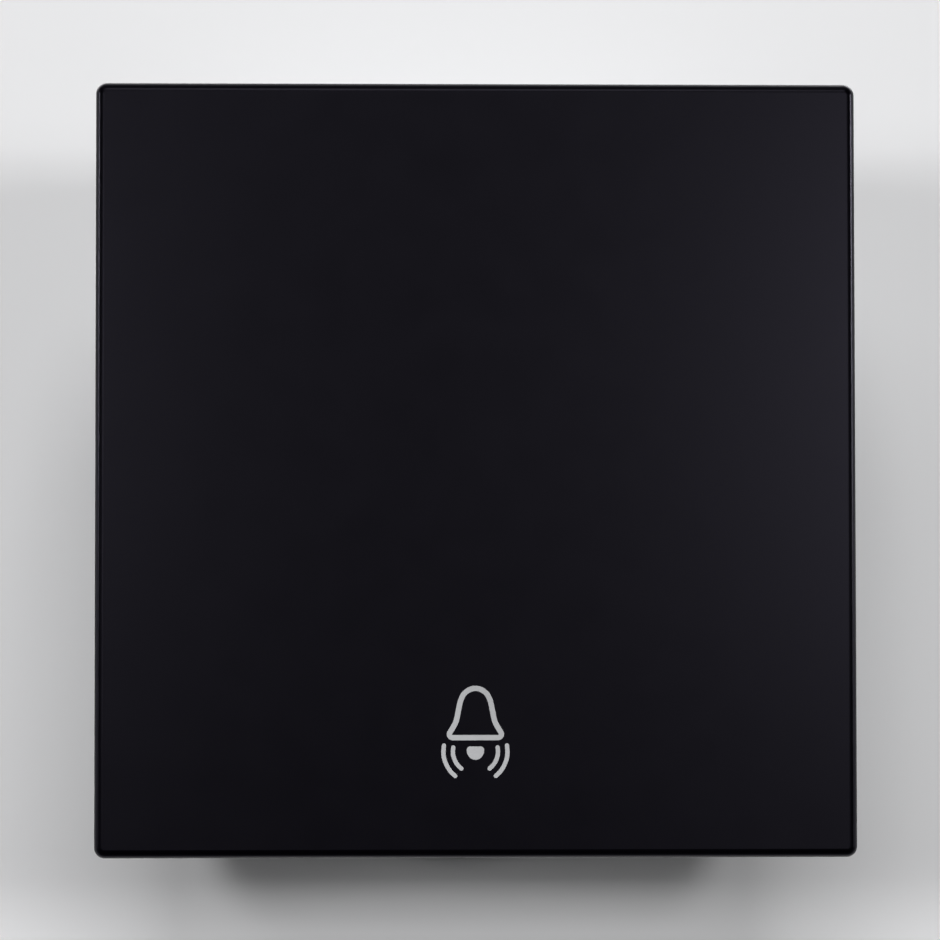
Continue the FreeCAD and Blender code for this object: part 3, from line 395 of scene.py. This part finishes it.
def metal(name):
    """Rolled or drawn metal: tone in patches and fine lines along one way."""
    dark, light, rough, line_scale, line_depth, closeness = METALS[name]
    material, nodes, links, shader, place = new_material(name)
    shader.inputs["Metallic"].default_value = 1.0
    cloud = add_noise(nodes, links, place, METAL_CLOUD_SCALE, CLOUD_DETAIL)
    add_colour(nodes, links, shader, cloud, dark, light)
    drawn = nodes.new("ShaderNodeMapping")
    drawn.inputs["Scale"].default_value = closeness
    links.new(place, drawn.inputs["Vector"])
    lines = add_noise(nodes, links, drawn.outputs["Vector"], line_scale, LINE_DETAIL, 0.5)
    links.new(spread(nodes, links, lines, *rough), shader.inputs["Roughness"])
    add_relief(nodes, links, shader, lines, line_depth)
    return material


def make_materials():
    """Every material by its slot's name, and the ink of the printed bell."""
    special = {"key_black": (KEY_GLOSS, KEY_EDGE_GLOSS, KEY_TINT), "print_ink": (INK_GLOSS,)}
    made = {name: moulded(name, *special.get(name, ())) for name in PLASTICS}
    made.update({name: metal(name) for name in METALS})
    return made


def dress_nodes(materials):
    """Gives each node the material that the record's slot names."""
    slots = {part["node"]: part["material_slot"] for part in frame["record"]["subparts"]}
    for name, piece in frame["nodes"].items():
        for slot in piece.material_slots:
            slot.material = materials[slots[name]]


# Rounding of the moulded and stamped pieces' sharp edges

EDGES = (("rear_housing", 0.15 * MM), ("rear_cover", 0.15 * MM), ("carrier_frame", 0.12 * MM),
         ("rocker_plate", 0.12 * MM), ("release_lever_left", 0.12 * MM),
         ("release_lever_right", 0.12 * MM), ("terminal_bar_left", 0.06 * MM),
         ("terminal_bar_right", 0.06 * MM))
EDGE_SEGMENTS = 2
EDGE_ANGLE = 38
WELD_GAP = 0.0005 * MM


def round_edges(name, width):
    """Small rounding on a piece's sharp edges, so that they catch the light."""
    piece = frame["nodes"][name]
    weld = piece.modifiers.new("weld", "WELD")
    weld.merge_threshold = WELD_GAP
    bevel = piece.modifiers.new("edges", "BEVEL")
    bevel.width = width
    bevel.segments = EDGE_SEGMENTS
    bevel.limit_method = "ANGLE"
    bevel.angle_limit = math.radians(EDGE_ANGLE)
    bevel.use_clamp_overlap = True
    bevel.harden_normals = True


def new_piece(name, mesh):
    """An object made from an edit mesh, with its faces turned outwards."""
    bmesh.ops.recalc_face_normals(mesh, faces=mesh.faces)
    data = bpy.data.meshes.new(name)
    mesh.to_mesh(data)
    mesh.free()
    piece = bpy.data.objects.new(name, data)
    bpy.context.collection.objects.link(piece)
    return piece


# The two screws of the rear cover, with a cross recess in each head

SCREW_HEAD = 1.4 * MM
SCREW_SHANK = 1.1 * MM
SCREW_TURNS = (0.35, 1.2)
SCREW_SMOOTH = 30
# The head's rounding: shares of its radius, and millimetres below its top
HEAD_ROUND = ((0.55, 0.0), (0.80, 0.05), (0.94, 0.18), (1.0, 0.42))
# The shank's length without thread under the head, and with the point's length added
PLAIN_SHANK = 6 * MM
PLAIN_AND_POINT = 7 * MM
# Half the thread's pitch, and the shares of the shank's radius at the thread's root and the tip
THREAD_STEP = 0.4 * MM
THREAD_ROOT = 0.86
TIP_SHARE = 0.45
# Both ends of the recess's wings, in millimetres: above the head's top, half length, half width
RECESS = ((0.2, 1.25, 0.27), (-0.95, 0.62, 0.20))


def spun(outline, middle, steps=48):
    """A turned form about the depth, from radii and depths, closed at both ends."""
    mesh = bmesh.new()
    rings = []
    for radius, depth in outline:
        rings.append([mesh.verts.new((middle[0] + radius * math.cos(2 * math.pi * k / steps), depth,
                                      middle[1] + radius * math.sin(2 * math.pi * k / steps)))
                      for k in range(steps)])
    for near, far in zip(rings, rings[1:]):
        for k in range(steps):
            mesh.faces.new([near[k], near[(k + 1) % steps], far[(k + 1) % steps], far[k]])
    mesh.faces.new(rings[0])
    mesh.faces.new(rings[-1][::-1])
    return mesh


def recess_wings(middle, depth, turn):
    """The wings of a cross recess, narrower towards the bottom."""
    mesh = bmesh.new()
    for quarter in (0, 1):
        a = turn + quarter * math.pi / 2
        along, across = Vector((math.cos(a), math.sin(a))), Vector((-math.sin(a), math.cos(a)))
        corners = []
        for above, half_long, half_wide in RECESS:
            for i, j in ((-1, -1), (1, -1), (1, 1), (-1, 1)):
                spot = along * (i * half_long * MM) + across * (j * half_wide * MM)
                corners.append(mesh.verts.new((middle[0] + spot.x, depth + above * MM,
                                               middle[1] + spot.y)))
        top, low = corners[:4], corners[4:]
        mesh.faces.new(top)
        mesh.faces.new(low[::-1])
        for k in range(4):
            mesh.faces.new([top[k], low[k], low[(k + 1) % 4], top[(k + 1) % 4]])
    return mesh


def screw_outline(radius, rear, tip):
    """Radii and depths of a screw, from the top of its head to its tip."""
    under = rear - SCREW_HEAD
    head = [(share * radius, rear - drop * MM) for share, drop in HEAD_ROUND]
    steps = int((under - PLAIN_AND_POINT - tip) / THREAD_STEP)
    thread = [(SCREW_SHANK * (1.0 if k % 2 else THREAD_ROOT), under - PLAIN_SHANK - k * THREAD_STEP)
              for k in range(steps)]
    return [*head, (radius, under), (SCREW_SHANK, under), *thread, (TIP_SHARE * SCREW_SHANK, tip)]


def cut_recess(screw, cutter):
    """Takes the cutter out of the screw, and removes it."""
    cut = screw.modifiers.new("recess", "BOOLEAN")
    cut.operation = "DIFFERENCE"
    cut.solver = "EXACT"
    cut.use_self = True
    cut.object = cutter
    graph = bpy.context.evaluated_depsgraph_get()
    data = bpy.data.meshes.new_from_object(screw.evaluated_get(graph))
    screw.modifiers.clear()
    screw.data = data
    bpy.data.objects.remove(cutter)


def make_screws(material):
    """Both screws, in place of the plain ones."""
    low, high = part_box("housing_screws")
    radius = (high[2] - low[2]) / 2
    rear, tip = high[1], low[1]
    height = (high[2] + low[2]) / 2
    for (side, word), turn in zip(SIDES, SCREW_TURNS):
        middle = (side * (high[0] - radius), height)
        screw = new_piece(f"screw_{word}", spun(screw_outline(radius, rear, tip), middle))
        cut_recess(screw, new_piece("recess", recess_wings(middle, rear, turn)))
        screw.data.materials.clear()
        screw.data.materials.append(material)
        screw.data.shade_smooth()
        screw.data.set_sharp_from_angle(angle=math.radians(SCREW_SMOOTH))
        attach(screw, "base")
        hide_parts("housing_screws")


# The printed bell: strokes of one even width, a thin film on the key's face. Spots of the sign
# are millimetres from its middle line and below its top.

SIGN_MIDDLE = -0.07 * MM
SIGN_TOP = KEY_LOW[2] + 9.95 * MM
FILM = 0.010 * MM
BELL_STROKE = 0.308 * MM
WAVE_STROKE = 0.246 * MM
ROUND_STEPS = 12
# The middle of the bell's stroke down its right side, and its rounded lower corner
BELL_SIDE = ((0.0, 0.155), (0.27, 0.200), (0.517, 0.336), (0.66, 0.475), (0.757, 0.625),
             (0.873, 0.915), (0.938, 1.204), (0.998, 1.494), (1.052, 1.783), (1.128, 2.073),
             (1.262, 2.345), (1.368, 2.52))
BELL_STEPS = 8
BELL_HALF = 1.505
RIM_DROP = 3.00
RIM_CORNER = 0.20
# Degrees that the lower corner turns through, from the rim to the flaring side
RIM_TURN = 121
CLAPPER_HALF = 0.503
CLAPPER_TOP = 3.51
CLAPPER_WIDEST = 3.74
CLAPPER_LOW = 4.28
CLAPPER_CORNER = 0.19
CLAPPER_STEPS = 16
WAVES = (("inner", (1.283, 3.565), (1.303, 3.80), (1.285, 4.03), (1.205, 4.273), (1.065, 4.53),
          (0.82, 4.785)),
         ("outer", (1.824, 3.453), (1.853, 3.80), (1.835, 4.08), (1.762, 4.37), (1.61, 4.70),
          (1.40, 5.00), (1.175, 5.21)))
WAVE_STEPS = 10


def on_face(half, drop):
    """A spot of the sign, in the key's face."""
    return Vector((SIGN_MIDDLE + half * MM, SIGN_TOP - drop * MM))


def smooth_through(points, steps):
    """A smooth line through points (Catmull-Rom), with steps pieces between each two."""
    padded = [points[0], *points, points[-1]]
    line = []
    for i in range(1, len(padded) - 2):
        a, b, c, d = (Vector(p) for p in padded[i - 1:i + 3])
        for k in range(steps):
            t = k / steps
            line.append(0.5 * (2 * b + (c - a) * t + (2 * a - 5 * b + 4 * c - d) * t * t
                               + (3 * b - a - 3 * c + d) * t ** 3))
    line.append(Vector(points[-1]))
    return line


def arc(centre, radius, start, end, steps=ROUND_STEPS):
    """Points of an arc from one angle to another, in degrees."""
    angles = (math.radians(mix(start, end, k / steps)) for k in range(steps + 1))
    return [Vector((centre[0] + radius * math.cos(a), centre[1] + radius * math.sin(a)))
            for a in angles]


def add_film(name, corners, faces, material):
    """A thin film of ink on the key's face, from corners and faces in its plane."""
    mesh = bmesh.new()
    front = [mesh.verts.new((x, FACE_Y - FILM, z)) for x, z in corners]
    back = [mesh.verts.new((x, FACE_Y + FILM, z)) for x, z in corners]
    for face in faces:
        mesh.faces.new([front[i] for i in face])
        mesh.faces.new([back[i] for i in reversed(face)])
    place = {vert: i for i, vert in enumerate(front)}
    for edge in [e for e in mesh.edges if len(e.link_faces) == 1 and e.verts[0] in place]:
        a, b = (place[vert] for vert in edge.verts)
        mesh.faces.new([front[a], front[b], back[b], back[a]])
    piece = new_piece(name, mesh)
    piece.data.materials.append(material)
    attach(piece, "key")


def offset_line(line, gap, closed=False):
    """The line moved sideways by gap, to the left of its run."""
    moved = []
    last = len(line) - 1
    for i, spot in enumerate(line):
        before = line[i - 1] if i or closed else line[0]
        after = line[(i + 1) % len(line)] if i < last or closed else line[last]
        along = (after - before).normalized()
        moved.append(spot + Vector((-along.y, along.x)) * gap)
    return moved


def band(line, width, closed=False):
    """Corners and faces of a band of a given width along a line."""
    count = len(line)
    left, right = (offset_line(line, way * width / 2, closed) for way in (1, -1))
    faces = []
    for i in range(count if closed else count - 1):
        k = (i + 1) % count
        faces.append((i, k, count + k, count + i))
    return left + right, faces


def add_stroke(name, line, width, material):
    """A stroke with round ends along an open line."""
    corners, faces = band(line, width)
    count = len(line)
    ends = ((line[0], line[1], 0, count), (line[-1], line[-2], 2 * count - 1, count - 1))
    for end, inner, first, last in ends:
        away = end - inner
        angle = math.degrees(math.atan2(away.y, away.x))
        cap = arc(end, width / 2, angle - 90, angle + 90)[1:-1]
        begin = len(corners)
        corners = corners + cap
        faces.append((first, *range(begin, begin + len(cap)), last))
    add_film(name, corners, faces, material)


def add_bell(material):
    """The bell: a dome, flaring sides, rounded lower corners and a flat rim."""
    spots = [(-half, drop) for half, drop in BELL_SIDE[:0:-1]] + list(BELL_SIDE)
    sides = smooth_through([on_face(*spot) for spot in spots], BELL_STEPS)
    across, drop = BELL_HALF - RIM_CORNER, RIM_DROP - RIM_CORNER
    left = arc(on_face(-across, drop), RIM_CORNER * MM, -90, -90 - RIM_TURN)
    right = arc(on_face(across, drop), RIM_CORNER * MM, -90 + RIM_TURN, -90)
    corners, faces = band(left + sides + right, BELL_STROKE, closed=True)
    add_film("bell_print", corners, faces, material)


def add_clapper(material):
    """The clapper: a flat top with rounded corners over a half-round."""
    centre = on_face(CLAPPER_HALF - CLAPPER_CORNER, CLAPPER_TOP + CLAPPER_CORNER)
    right = arc(centre, CLAPPER_CORNER * MM, 90, 0, ROUND_STEPS // 2)
    for k in range(CLAPPER_STEPS + 1):
        angle = math.radians(90 * k / CLAPPER_STEPS)
        right.append(on_face(CLAPPER_HALF * math.cos(angle),
                             mix(CLAPPER_WIDEST, CLAPPER_LOW, math.sin(angle))))
    left = [Vector((2 * SIGN_MIDDLE - spot.x, spot.y)) for spot in right[-2::-1]]
    outline = right + left
    add_film("clapper_print", outline, [tuple(range(len(outline)))], material)


def make_sign(material):
    """The bell, its clapper, and two sound waves at each side."""
    add_bell(material)
    add_clapper(material)
    for side, word in SIDES:
        for name, *spots in WAVES:
            points = [on_face(side * half, drop) for half, drop in spots]
            line = smooth_through(points, WAVE_STEPS)
            add_stroke(f"wave_{name}_{word}", line, WAVE_STROKE, material)


add_camera()
add_world()
add_lamps()
add_backdrop()
materials = make_materials()
dress_nodes(materials)
for node, width in EDGES:
    round_edges(node, width)
make_screws(materials["screw_steel"])
make_sign(materials["print_ink"])

bpy.context.scene.view_settings.view_transform = "Standard"
